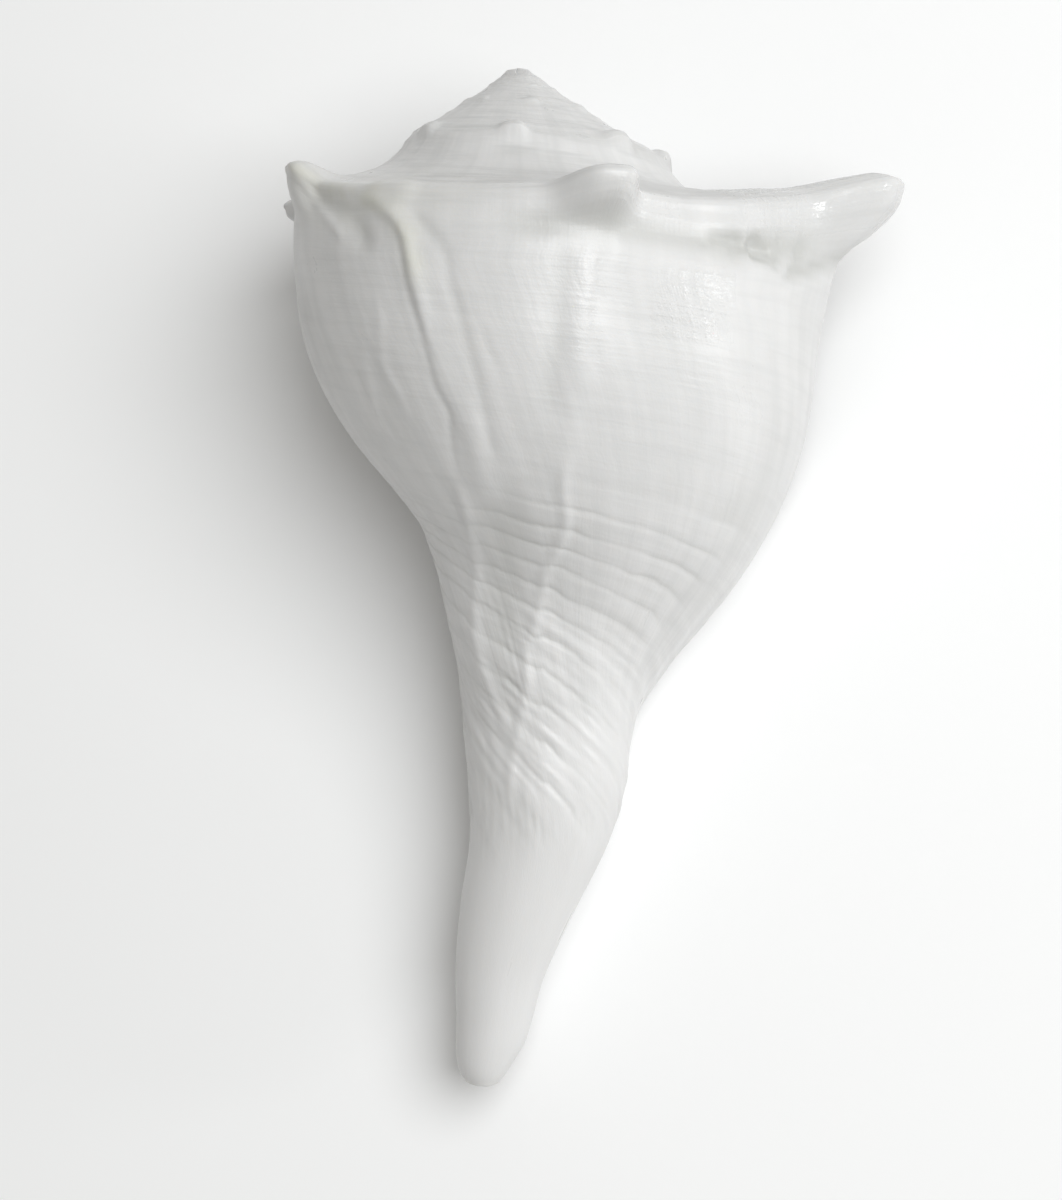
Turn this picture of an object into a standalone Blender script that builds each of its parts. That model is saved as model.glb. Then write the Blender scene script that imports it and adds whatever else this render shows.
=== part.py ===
"""A white left-handed whelk, sold as a conch shell, about 200 mm long, lying on its mouth.

The shell is one closed solid. It is drawn in growth coordinates: an angle that runs back
from the lip round the axis, and a position down the whorl's outline, from the suture over
the shoulder and the side to the tip of the canal. Every whorl is the next one shrunk about
the apex, as in the real animal. Sizes are in millimetres here, and in metres in the mesh.
"""

import math

import bpy
import numpy as np

MM = 0.001
TURN = 2 * math.pi

# Driving sizes
SHELL_LENGTH = 200.0
WHORL_GROWTH = 1.96
INNER_WALL = 3.0
LIP_WALL = 1.9
COLUMELLA_RADIUS = 6.0
# How wide the body melts into the canal outside, and into the columella inside
CANAL_BLEND = 8.0
COLUMELLA_BLEND = 6.0
SPIRE_TURNS = 3.4

# How it lies: turned about its own axis, then tipped until the canal comes down. The three
# places that touch the ground are worn flat by this much.
ROLL = math.radians(8.8)
PITCH = math.radians(7.5)
WEAR = 0.6

# Mesh layout: columns in one turn, columns along the hollow, rows across the lip's edge
COLUMNS = 54
HOLLOW_COLUMNS = 24
EDGE_ROWS = 3
# Extra columns at each knob: how many times the usual, and over how many degrees
KNOB_DENSITY = 1.2
KNOB_CROWDING = 10.0
RAMP_SHARES = (0.0, 0.1, 0.24, 0.4, 0.56, 0.7, 0.81, 0.91, 1.0)
SIDE_DEPTHS = (39.2, 41.7, 44.5, 50.0, 57.0, 65.0, 73.0, 81.0, 89.0, 97.0, 105.0, 113.0, 121.0,
               130.0, 139.0, 148.0, 157.0, 166.0, 175.0, 184.0, 191.0, 196.0, 199.2)

# Ramp from the suture to the seam below the shoulder: share, radius, depth below the apex.
# It is hollow on the last whorl and nearly straight on the spire.
LAST_RAMP = (
    (0.00, 29.40, 18.80), (0.12, 31.50, 22.10), (0.26, 35.00, 26.00), (0.40, 39.80, 28.60),
    (0.54, 45.00, 30.70), (0.68, 50.40, 32.50), (0.82, 55.20, 33.90), (0.92, 57.50, 35.20),
    (1.00, 57.62, 36.85),
)
SPIRE_RAMP = (
    (0.00, 29.40, 18.80), (0.12, 32.60, 20.90), (0.26, 36.80, 23.70), (0.40, 41.20, 26.60),
    (0.54, 45.80, 29.50), (0.68, 50.20, 32.00), (0.82, 54.20, 34.20), (0.92, 56.60, 35.60),
    (1.00, 57.62, 36.85),
)
# Side of the last whorl: depth, radius
SIDE = (
    (36.85, 57.62), (42.0, 58.9), (50.0, 59.6), (58.0, 59.2), (66.0, 58.5), (74.0, 56.8),
    (81.0, 54.4), (88.7, 50.8), (100.5, 43.2), (112.3, 32.6), (120.0, 26.4), (130.0, 22.3),
    (143.7, 17.8), (155.0, 12.0), (165.0, 5.5), (180.0, -6.0), (200.0, -12.0),
)
# Canal, an oval tube: depth, centre to the right of the axis, half width
CANAL = (
    (85.0, 0.0, 4.0), (100.0, 1.6, 10.0), (110.0, 2.5, 13.0), (124.0, 3.9, 13.9),
    (140.0, 6.1, 14.8), (150.0, 5.4, 13.7), (163.0, 1.6, 11.7), (171.0, -0.7, 10.2),
    (179.0, -2.6, 8.6), (187.0, -3.6, 7.4), (193.0, -4.6, 6.5), (196.5, -5.3, 5.5),
    (198.6, -5.8, 4.3), (200.0, -6.1, 2.6),
)
CANAL_FLATNESS = 0.9
# Line that the sections are drawn round: depth, distance to the right of the axis
CENTRE_LINE = (
    (0.0, 1.4), (30.0, 0.6), (95.0, 0.4), (124.0, 2.0), (140.0, 3.5), (150.0, 3.6),
    (163.0, 1.6), (171.0, -0.7), (179.0, -2.6), (187.0, -3.5), (200.0, -5.7),
)
# Degrees from the right-hand side forward to the lip's edge, and from there back round the
# outside to the columella's edge
LIP_LEAD = ((51.0, 6.0), (70.0, 13.0), (100.0, 26.0), (125.0, 42.0), (150.0, 62.0), (200.0, 66.0))
OUTSIDE_SWEEP = ((70.0, 360.0), (100.0, 350.0), (125.0, 326.0), (150.0, 308.0), (200.0, 312.0))
# Hollow: degrees that its end lies past the middle of the turn
HOLLOW_END = ((51.0, 0.0), (75.0, 16.0), (110.0, 6.0), (150.0, 4.0), (200.0, 8.0))
HOLLOW_RAMP = (
    (0.0, 30.4, 24.4), (0.25, 34.4, 29.2), (0.5, 42.0, 33.8), (0.75, 50.2, 36.2),
    (0.9, 54.0, 37.4), (1.0, 55.4, 38.9),
)
COLUMELLA_WALL = ((90.0, 7.0), (130.0, 7.0), (150.0, 5.2), (175.0, 3.0), (200.0, 1.5))
# Share of the columella's sweep that its rounded edge takes, and degrees that it runs past the
# hollow's end
EDGE_SHARE = 0.14
COLUMELLA_PAST_END = 10.0
# The wall reaches its full thickness this far behind the lip, and is thinner at the canal's tip
LIP_TAPER = 35.0
TIP_THINNING = 0.35
# Share of a knob that shows inside the lip, and the degrees over which it fades
KNOB_INSIDE = 0.8
KNOB_INSIDE_FADE = 16.0
# The hollow's blind end droops by this much, over its first rows
END_SAG = 0.7
END_SAG_ROWS = 9

# Knobs: degrees back from the right-hand side, outward, upward, half width along the coil,
# reach up the ramp, reach down the side, degrees that the tip leans back
KNOBS = (
    (6.0, 17.6, 5.2, 8.0, 7.0, 7.6, -2.0),
    (71.0, 9.6, 4.0, 6.6, 5.6, 6.0, -3.0),
    (118.0, 1.6, 1.2, 4.6, 4.0, 5.0, 0.0),
    (154.0, 4.9, 4.8, 6.0, 5.0, 5.6, 2.0),
    (197.0, 8.5, -1.0, 5.5, 4.6, 5.4, 0.0),
    (250.0, 5.5, 1.2, 6.0, 5.0, 5.0, 0.0),
    (302.0, 3.0, 2.4, 5.5, 4.5, 5.0, 0.0),
)
# Older knobs repeat up the spire, each turn lower than the next. The first one is given at
# full size, with how high it would stand there.
OLDER_KNOB = (351.0, 1.8, 4.6, 5.4, 4.2, 4.6)
OLDER_KNOB_STEP = 49.5
# A knob is blunt, with a wider low root, and longer on the side that grew first
KNOB_ROOT_SHARE = 0.28
KNOB_ROOT_WIDTH = 1.9
KNOB_BACK = 1.35
KNOB_FRONT = 0.75
# The shoulder's rise towards the large spine: degrees, half width in degrees, up, outward
FOLD = (5.0, 38.0, 6.2, 1.6)
# The rise fades up the ramp between the first two distances from the crest, and down the
# side over the third
FOLD_FADE = (-24.0, -4.0, 17.0)
CREST_SHARE = 0.88
SHOULDER_RADIUS = 59.0
# Dome over the apex: how far out and how far down its one ring lies, as shares of its rim
DOME_RING = np.array([0.6, 0.3, 0.6])


def hermite(position, knots, column=1):
    """A smooth curve through a table's rows, held level past its ends."""
    table = np.array(knots, float)
    at = table[:, 0]
    value = table[:, column]
    slope = np.gradient(value, at)
    position = np.clip(position, at[0], at[-1])
    i = np.clip(np.searchsorted(at, position) - 1, 0, len(at) - 2)
    span = at[i + 1] - at[i]
    t = (position - at[i]) / span
    return (
        (2 * t**3 - 3 * t**2 + 1) * value[i]
        + (t**3 - 2 * t**2 + t) * span * slope[i]
        + (3 * t**2 - 2 * t**3) * value[i + 1]
        + (t**3 - t**2) * span * slope[i + 1]
    )


def smooth_step(low, high, value):
    t = np.clip((value - low) / (high - low), 0, 1)
    return t * t * (3 - 2 * t)


def soft_max(a, b, blend):
    near = np.maximum(blend - np.abs(a - b), 0) / blend
    return np.maximum(a, b) + near**2 * blend / 4


def growth(azimuth):
    """Size of the shell when its lip stood this far back from the right-hand side."""
    return np.exp(-math.log(WHORL_GROWTH) * azimuth / TURN)


def level(azimuth, depth):
    """Depth of a row: it spirals with growth on the body and becomes a ring at the tip."""
    size = growth(azimuth)
    return depth * (size + (1 - size) * smooth_step(70.0, SHELL_LENGTH, depth))


def spiral_radius(azimuth, depth):
    size = growth(azimuth)
    return size * hermite(depth / size, SIDE)


def canal_radius(azimuth, depth):
    """Radius of the canal's oval tube, seen from the centre line."""
    offset = hermite(depth, CANAL, 1) - hermite(depth, CENTRE_LINE)
    half_width = hermite(depth, CANAL, 2)
    half_height = CANAL_FLATNESS * half_width
    oval = 1 / np.hypot(np.cos(azimuth) / half_width, np.sin(azimuth) / half_height)
    return oval + offset * np.cos(azimuth)


def outer_radius(azimuth, depth):
    shift = hermite(depth, CENTRE_LINE) * smooth_step(60, 100, depth)
    body = spiral_radius(azimuth, depth) - shift * np.cos(azimuth)
    return soft_max(body, canal_radius(azimuth, depth), CANAL_BLEND)


def place(azimuth, radius, depth):
    """A point in the shell's own frame: X right, Y towards the apex, Z out of the back."""
    across = hermite(depth, CENTRE_LINE) + radius * np.cos(azimuth)
    return np.stack(np.broadcast_arrays(across, -depth, radius * np.sin(azimuth)), -1)


def ramp_outline(azimuth, share):
    """Radius and depth on the ramp at full size, hollow on the last whorl only."""
    older = smooth_step(math.pi, TURN, azimuth)
    radius = hermite(share, LAST_RAMP, 1)
    depth = hermite(share, LAST_RAMP, 2)
    radius = radius + older * (hermite(share, SPIRE_RAMP, 1) - radius)
    depth = depth + older * (hermite(share, SPIRE_RAMP, 2) - depth)
    return radius, depth


def ramp_length(share):
    """Length down the outline from the suture at full size."""
    fine = np.linspace(0, 1, 201)
    steps = np.hypot(np.diff(hermite(fine, LAST_RAMP, 1)), np.diff(hermite(fine, LAST_RAMP, 2)))
    return np.interp(share, fine, np.concatenate([[0], np.cumsum(steps)]))


def all_knobs():
    """Every knob with its own size: azimuth and sizes in radians and millimetres."""
    knobs = []
    for degrees, *sizes, lean in KNOBS:
        knobs.append((math.radians(degrees), *sizes, math.radians(lean)))
    first, out, up, *reaches = OLDER_KNOB
    for degrees in np.arange(first, math.degrees(TURN) * (SPIRE_TURNS + 0.5), OLDER_KNOB_STEP):
        azimuth = math.radians(degrees)
        size = float(growth(azimuth))
        lower = size * float(growth(azimuth - TURN))
        knobs.append((azimuth, out * lower, up * lower, *[size * reach for reach in reaches], 0.0))
    return knobs


def shoulder_shift(azimuth, length):
    """How far the knobs and the fold move a point, by its azimuth and its outline length."""
    azimuth, length = np.broadcast_arrays(azimuth, length)
    down = (length - ramp_length(CREST_SHARE)) * growth(azimuth)
    total = np.zeros(azimuth.shape + (3,))
    for centre, out, up, wide, above, below, lean in all_knobs():
        along = (azimuth - centre) * SHOULDER_RADIUS * growth(centre)
        along = along / (wide * np.where(along > 0, KNOB_BACK, KNOB_FRONT))
        reach = np.hypot(along, down / np.where(down < 0, above, below))
        root = np.exp(-((reach / KNOB_ROOT_WIDTH) ** 2))
        horn = np.exp(-(reach**4)) * (1 - KNOB_ROOT_SHARE) + root * KNOB_ROOT_SHARE
        total[..., 0] += horn * out * math.cos(centre + lean)
        total[..., 1] += horn * up
        total[..., 2] += horn * out * math.sin(centre + lean)
    centre, spread, up, out = FOLD
    turn = np.exp(-(((azimuth - math.radians(centre)) / math.radians(spread)) ** 2))
    rise_start, rise_end, fall_end = FOLD_FADE
    ridge = turn * smooth_step(rise_start, rise_end, down) * (1 - smooth_step(0.0, fall_end, down))
    total[..., 0] += ridge * out * np.cos(azimuth)
    total[..., 1] += ridge * up
    total[..., 2] += ridge * out * np.sin(azimuth)
    return total


def column_backs(columns):
    """Angles back from the lip, closer together at the knobs, and the same on every turn."""
    fine = np.linspace(0, TURN, 1441)
    density = np.ones_like(fine)
    for knob in KNOBS:
        centre = math.radians(knob[0] + LIP_LEAD[0][1])
        density += KNOB_DENSITY * np.exp(-(((fine - centre) / math.radians(KNOB_CROWDING)) ** 2))
    total = np.concatenate([[0], np.cumsum((density[1:] + density[:-1]) / 2)])
    one_turn = np.interp(np.linspace(0, total[-1], COLUMNS + 1), total, fine)
    return TURN * (columns // COLUMNS) + one_turn[columns % COLUMNS]


SEAM = len(RAMP_SHARES) - 1
EDGE = SEAM + EDGE_ROWS
LAST_ROW = SEAM + len(SIDE_DEPTHS)
FIRST_COLUMN = round(COLUMNS * (SPIRE_TURNS + 1))
HOLLOW_END_COLUMN = COLUMNS + HOLLOW_COLUMNS


def row_depths(rows):
    depths = np.array((LAST_RAMP[-1][2],) + SIDE_DEPTHS)
    return depths[np.maximum(rows - SEAM, 0)]


def row_lengths(rows):
    """Length down the outline of each row."""
    shares = np.array(RAMP_SHARES)[np.minimum(rows, SEAM)]
    return ramp_length(shares) + row_depths(rows) - LAST_RAMP[-1][2]


def lip_lead(rows):
    return np.radians(hermite(row_depths(rows), LIP_LEAD))


def outer_azimuths(columns, rows):
    """Azimuth of each column and row of the outside and, past one turn, of the columella."""
    back = column_backs(columns)[:, None]
    sweep = np.radians(hermite(row_depths(rows), OUTSIDE_SWEEP)) / TURN
    sweep = np.where((rows <= EDGE) | (columns[:, None] > COLUMNS), 1.0, sweep)
    return back * sweep - lip_lead(rows)


def outer_points(columns, rows):
    """Points of the outer surface, knobs included."""
    azimuth = outer_azimuths(columns, rows)
    shares = np.array(RAMP_SHARES)[np.minimum(rows, SEAM)]
    radius, depth = ramp_outline(azimuth, shares)
    size = growth(azimuth)
    ramp = place(azimuth, size * radius, size * depth)
    depth = level(azimuth, row_depths(rows))
    side = place(azimuth, outer_radius(azimuth, depth), depth)
    base = np.where((rows <= SEAM)[None, :, None], ramp, side)
    return base + shoulder_shift(azimuth, row_lengths(rows))


def inset_points(azimuth, row_depth, thickness):
    """The side's points moved inwards by a wall, square to the outline."""
    depth = level(azimuth, row_depth)
    slope = outer_radius(azimuth, depth + 0.5) - outer_radius(azimuth, depth - 0.5)
    slope = np.clip(slope, -1.4, 1.4)
    length = np.sqrt(1 + slope**2)
    radius = outer_radius(azimuth, depth) - thickness / length
    return place(azimuth, radius, depth + thickness * slope / length)


def hollow_azimuths(rows):
    """Azimuth of the hollow's columns, from the lip inwards."""
    columns = np.arange(HOLLOW_COLUMNS + 1)
    reach = column_backs(columns)[-1] + np.radians(hermite(row_depths(rows), HOLLOW_END))
    return (column_backs(columns) / column_backs(columns)[-1])[:, None] * reach - lip_lead(rows)


def hollow_points(rows):
    """Inside of the outer wall."""
    azimuth = hollow_azimuths(rows)
    depth = row_depths(rows)
    back = azimuth + lip_lead(rows)
    wall = LIP_WALL + (INNER_WALL - LIP_WALL) * smooth_step(0.0, math.radians(LIP_TAPER), back)
    wall = wall * (1 - TIP_THINNING * smooth_step(150, SHELL_LENGTH, depth))
    turned = smooth_step(math.radians(60), math.radians(170), azimuth)
    in_canal = smooth_step(100, 140, depth)
    wall = wall + turned * in_canal * (hermite(depth, COLUMELLA_WALL) - wall)
    size = growth(azimuth)
    shares = np.array(RAMP_SHARES)[np.minimum(rows, SEAM)]
    radius = hermite(shares, HOLLOW_RAMP, 1)
    ramp = place(azimuth, size * radius, size * hermite(shares, HOLLOW_RAMP, 2))
    side = inset_points(azimuth, depth, wall)
    base = np.where((rows <= SEAM)[None, :, None], ramp, side)
    follow = KNOB_INSIDE * np.exp(-np.maximum(back, 0) / math.radians(KNOB_INSIDE_FADE))
    return base + follow[..., None] * shoulder_shift(azimuth, row_lengths(rows))


def columella_points(rows):
    """The smooth wall between the mouth and the axis, from its edge inwards."""
    columns = np.arange(COLUMNS + 1, HOLLOW_END_COLUMN + 1)
    backs = column_backs(columns) - TURN
    share = (backs / column_backs(np.array([HOLLOW_COLUMNS]))[0])[:, None]
    row_depth = row_depths(rows)
    edge = outer_azimuths(np.array([COLUMNS]), rows)
    reach = column_backs(np.array([HOLLOW_COLUMNS])) + np.radians(hermite(row_depth, HOLLOW_END))
    azimuth = edge + share * reach
    depth = level(azimuth, row_depth)
    radius = soft_max(spiral_radius(azimuth, depth), COLUMELLA_RADIUS, COLUMELLA_BLEND)
    radius = np.where(rows <= EDGE, outer_radius(azimuth, depth), radius)
    body = place(azimuth, radius, depth)
    wall = hermite(row_depth, COLUMELLA_WALL)
    turned = math.pi * np.minimum(share / EDGE_SHARE, 1)
    deep = hollow_azimuths(rows)[-1] + math.radians(COLUMELLA_PAST_END)
    past = np.clip((share - EDGE_SHARE) / (1 - EDGE_SHARE), 0, 1)
    azimuth = edge + past * (deep - edge)
    canal = inset_points(azimuth, row_depth, wall * (1 - np.cos(turned)) / 2)
    forward = np.stack(np.broadcast_arrays(-np.sin(edge), 0.0, np.cos(edge)), -1)
    canal = canal + (wall * np.sin(turned) / 2)[..., None] * forward
    in_canal = smooth_step(92, 150, row_depth)[None, :, None]
    return body + in_canal * (canal - body)


class Sheets:
    """Points and faces gathered from grids of indices."""

    def __init__(self):
        self.points = np.zeros((0, 3))
        self.faces = []

    def add(self, points):
        start = len(self.points)
        self.points = np.concatenate([self.points, points.reshape(-1, 3)])
        return np.arange(start, len(self.points)).reshape(points.shape[:-1])

    def face(self, loop):
        distinct = list(dict.fromkeys(int(index) for index in loop))
        if len(distinct) > 2:
            self.faces.append(distinct)

    def quads(self, grid):
        corners = np.stack([grid[:-1, :-1], grid[:-1, 1:], grid[1:, 1:], grid[1:, :-1]], -1)
        for loop in corners.reshape(-1, 4):
            self.face(loop)

    def band(self, first, last, inner_steps, swell):
        """Grid from one line of points to another, rounded outwards between them."""
        share = np.arange(1, inner_steps)[:, None, None] / inner_steps
        a = self.points[first]
        b = self.points[last]
        width = np.linalg.norm(a - b, axis=-1)[..., None]
        points = a + share * (b - a) + swell * width / 2 * np.sin(math.pi * share)
        return np.concatenate([first[None], self.add(points), last[None]])


def build_shell():
    sheets = Sheets()
    outer = np.full((FIRST_COLUMN + 1, LAST_ROW + 1), -1)
    ramp_rows = np.arange(1, SEAM + 1)
    side_rows = np.arange(SEAM + 1, LAST_ROW + 1)
    hidden_rows = np.arange(EDGE, LAST_ROW + 1)
    every_column = np.arange(FIRST_COLUMN + 1)
    outer[:, ramp_rows] = sheets.add(outer_points(every_column, ramp_rows))
    outer[: FIRST_COLUMN + 1 - COLUMNS, 0] = outer[COLUMNS:, SEAM]
    first_turn = np.arange(FIRST_COLUMN + 1 - COLUMNS, FIRST_COLUMN + 1)
    outer[first_turn, 0] = sheets.add(outer_points(first_turn, np.array([0])))[:, 0]
    outer[: COLUMNS + 1, SEAM + 1 :] = sheets.add(outer_points(every_column[: COLUMNS + 1], side_rows))
    outer[COLUMNS + 1 : HOLLOW_END_COLUMN + 1, EDGE:] = sheets.add(columella_points(hidden_rows))
    inner = np.full((HOLLOW_COLUMNS + 1, LAST_ROW + 1), -1)
    inner[:, 0] = outer[COLUMNS : HOLLOW_END_COLUMN + 1, EDGE]
    inner[:, 1:] = sheets.add(hollow_points(np.arange(1, LAST_ROW + 1)))

    # Outside, columella and inside of the wall
    sheets.quads(outer[::-1, : SEAM + 1])
    sheets.quads(outer[COLUMNS::-1, SEAM:])
    sheets.quads(outer[HOLLOW_END_COLUMN : COLUMNS - 1 : -1, EDGE:])
    sheets.quads(inner)

    # Lip's edge
    azimuth = outer_azimuths(np.array([0]), np.arange(LAST_ROW + 1))[0]
    forward = np.stack([np.sin(azimuth), 0 * azimuth, -np.cos(azimuth)], -1)
    lip = np.empty((EDGE_ROWS + 1, LAST_ROW + 1), int)
    lip[:, 0] = outer[COLUMNS, SEAM : EDGE + 1]
    lip[:, 1:] = sheets.band(outer[0, 1:], inner[0, 1:], EDGE_ROWS, forward[1:])
    sheets.quads(lip)

    # Far end of the hollow
    cap = COLUMNS - 2 * HOLLOW_COLUMNS
    sag = END_SAG * (1 - smooth_step(EDGE, EDGE + END_SAG_ROWS, hidden_rows))[:, None]
    sag = sag * np.array([0.0, -1.0, 0.0])
    far = sheets.band(inner[-1, EDGE:], outer[HOLLOW_END_COLUMN, EDGE:], cap, sag)
    sheets.quads(far)
    sheets.face(list(far[1:, 0]) + list(inner[-1, : EDGE + 1]))

    # Rim at the canal's tip
    ring = np.concatenate([inner[:, -1], far[1:, -1], outer[COLUMNS:HOLLOW_END_COLUMN, -1][::-1]])
    rim = np.empty((EDGE_ROWS + 1, COLUMNS + 1), int)
    tip = np.array([0.0, -1.0, 0.0])
    rim[:, 0] = lip[:, -1]
    rim[:, COLUMNS] = outer[COLUMNS, -1]
    rim[:, 1:COLUMNS] = sheets.band(outer[1:COLUMNS, -1], ring[1:COLUMNS], EDGE_ROWS, tip)
    sheets.quads(rim.T[::-1])

    # First whorl, closed by a small dome over the apex
    apex = np.array([CENTRE_LINE[0][1], 0.0, 0.0])
    loop = list(outer[FIRST_COLUMN - COLUMNS :, 0]) + list(outer[FIRST_COLUMN, 1:SEAM])
    loop = list(dict.fromkeys(int(index) for index in loop))
    ring = apex + (sheets.points[loop] - apex) * DOME_RING
    ring = sheets.add(ring).tolist()
    top = sheets.add(apex[None])[0]
    for i in range(len(loop)):
        sheets.face([loop[i], loop[i - 1], ring[i - 1], ring[i]])
        sheets.face([ring[i], ring[i - 1], top])
    return sheets


def at_rest(points):
    """Turned and tipped into the pose that it lies in, with its box centred over the origin."""
    x, y, z = points.T
    x, z = x * math.cos(ROLL) + z * math.sin(ROLL), z * math.cos(ROLL) - x * math.sin(ROLL)
    y, z = y * math.cos(PITCH) - z * math.sin(PITCH), y * math.sin(PITCH) + z * math.cos(PITCH)
    z = np.maximum(z - z.min() - WEAR, 0)
    points = np.stack([x, y, z], -1)
    middle = (points.min(axis=0) + points.max(axis=0)) / 2
    return points - np.array([middle[0], middle[1], 0.0])


def shell_material():
    material = bpy.data.materials.new("White shell")
    material.use_nodes = True
    shader = material.node_tree.nodes["Principled BSDF"]
    shader.inputs["Base Color"].default_value = (0.86, 0.86, 0.83, 1.0)
    shader.inputs["Roughness"].default_value = 0.4
    return material


def main():
    for thing in list(bpy.data.objects):
        bpy.data.objects.remove(thing)
    sheets = build_shell()
    mesh = bpy.data.meshes.new("conch_shell")
    mesh.from_pydata((at_rest(sheets.points) * MM).tolist(), [], sheets.faces)
    mesh.validate()
    mesh.polygons.foreach_set("use_smooth", [True] * len(mesh.polygons))
    mesh.materials.append(shell_material())
    shell = bpy.data.objects.new("conch_shell", mesh)
    bpy.context.scene.collection.objects.link(shell)


if __name__ == "__main__":
    main()
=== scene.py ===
import math

import bpy
import numpy as np
from mathutils import Matrix, Vector


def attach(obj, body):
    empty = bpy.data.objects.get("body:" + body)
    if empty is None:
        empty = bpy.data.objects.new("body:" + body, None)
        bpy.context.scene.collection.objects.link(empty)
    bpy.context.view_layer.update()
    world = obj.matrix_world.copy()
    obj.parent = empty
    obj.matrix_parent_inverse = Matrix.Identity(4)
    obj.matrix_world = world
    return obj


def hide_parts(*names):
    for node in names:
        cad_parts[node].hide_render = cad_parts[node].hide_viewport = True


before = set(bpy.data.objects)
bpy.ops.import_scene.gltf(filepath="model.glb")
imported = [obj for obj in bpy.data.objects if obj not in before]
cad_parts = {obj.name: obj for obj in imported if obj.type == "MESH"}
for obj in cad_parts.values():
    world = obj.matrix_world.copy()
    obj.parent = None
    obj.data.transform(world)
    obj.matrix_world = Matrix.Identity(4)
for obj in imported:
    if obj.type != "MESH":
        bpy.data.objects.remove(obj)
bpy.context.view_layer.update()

bl_info = {
    "name": "Conch shell",
    "version": (1, 0, 0),
    "blender": (4, 5, 0),
    "location": "View3D > Sidebar > Shell",
    "description": "Makes a white left-handed whelk shell and the studio it lies in",
    "category": "Object",
}

SHELL_NODE = "conch_shell"
MM = 0.001
TURN = 2 * math.pi

# Sizes of the solid, in millimetres and degrees
SHELL_LENGTH = 200.0
WHORL_GROWTH = 1.96
INNER_WALL = 3.0
LIP_WALL = 1.9
COLUMELLA_RADIUS = 6.0
CANAL_BLEND = 8.0
COLUMELLA_BLEND = 6.0
SPIRE_TURNS = 3.4
ROLL = math.radians(8.8)
PITCH = math.radians(7.5)

# Where the axis at the apex's level comes to lie, so that the solid's box is centred on the floor
REST_ORIGIN = (-14.656, 99.161, 39.349)

# The mesh is finer than the solid: columns lie closest at the old lips, rows at the cords.
# Inside the shell only every third line of each kind is kept, on the spire every second column.
COLUMNS = 340
HOLLOW_COLUMNS = 150
COLUMN_DENSITY = (
    (0, 1.2), (20, 1.0), (60, 1.0), (75, 2.0), (160, 2.0), (180, 0.8), (210, 0.5), (345, 0.5), (360, 1.0),
)
EDGE_ROWS = 7
INSIDE_STEP = 3
SPIRE_STEP = 2
RAMP_SHARES = tuple(np.linspace(0, 0.5, 9)) + tuple(np.linspace(0.5, 1.0, 14)[1:])
SIDE_DEPTHS = (
    tuple(np.linspace(36.85, 44.5, EDGE_ROWS + 1)[1:]) + tuple(np.linspace(44.5, 84.0, 36)[1:])
    + tuple(np.linspace(84.0, 126.0, 81)[1:]) + tuple(np.linspace(126.0, 150.0, 36)[1:])
    + tuple(np.linspace(150.0, 192.0, 28)[1:]) + (193.4, 194.8, 196.2, 197.5, 198.6, 199.2)
)

# Ramp from the suture to the seam below the shoulder: share, radius, depth below the apex.
# It is hollow on the last whorl and nearly straight on the spire.
LAST_RAMP = (
    (0.00, 29.40, 18.80), (0.12, 31.50, 22.10), (0.26, 35.00, 26.00), (0.40, 39.80, 28.60),
    (0.54, 45.00, 30.70), (0.68, 50.40, 32.50), (0.82, 55.20, 33.90), (0.92, 57.50, 35.20),
    (1.00, 57.62, 36.85),
)
SPIRE_RAMP = (
    (0.00, 29.40, 18.80), (0.12, 32.60, 20.90), (0.26, 36.80, 23.70), (0.40, 41.20, 26.60),
    (0.54, 45.80, 29.50), (0.68, 50.20, 32.00), (0.82, 54.20, 34.20), (0.92, 56.60, 35.60),
    (1.00, 57.62, 36.85),
)
# Side of the last whorl: depth, radius
SIDE = (
    (36.85, 57.62), (42.0, 58.9), (50.0, 59.6), (58.0, 59.2), (66.0, 58.5), (74.0, 56.8),
    (81.0, 54.4), (88.7, 50.8), (100.5, 43.2), (112.3, 32.6), (120.0, 26.4), (130.0, 22.3),
    (143.7, 17.8), (155.0, 12.0), (165.0, 5.5), (180.0, -6.0), (200.0, -12.0),
)
# Canal, an oval tube: depth, centre to the right of the axis, half width
CANAL = (
    (85.0, 0.0, 4.0), (100.0, 1.6, 10.0), (110.0, 2.5, 13.0), (124.0, 3.9, 13.9),
    (140.0, 6.1, 14.8), (150.0, 5.4, 13.7), (163.0, 1.6, 11.7), (171.0, -0.7, 10.2),
    (179.0, -2.6, 8.6), (187.0, -3.6, 7.4), (193.0, -4.6, 6.5), (196.5, -5.3, 5.5),
    (198.6, -5.8, 4.3), (200.0, -6.1, 2.6),
)
CANAL_FLATNESS = 0.9
# Line that the sections are drawn round: depth, distance to the right of the axis
CENTRE_LINE = (
    (0.0, 1.4), (30.0, 0.6), (95.0, 0.4), (124.0, 2.0), (140.0, 3.5), (150.0, 3.6),
    (163.0, 1.6), (171.0, -0.7), (179.0, -2.6), (187.0, -3.5), (200.0, -5.7),
)
# Degrees from the right-hand side forward to the lip's edge, and from there back round the
# outside to the columella's edge
LIP_LEAD = ((51.0, 6.0), (70.0, 13.0), (100.0, 26.0), (125.0, 42.0), (150.0, 62.0), (200.0, 66.0))
OUTSIDE_SWEEP = ((70.0, 360.0), (100.0, 350.0), (125.0, 326.0), (150.0, 308.0), (200.0, 312.0))
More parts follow.
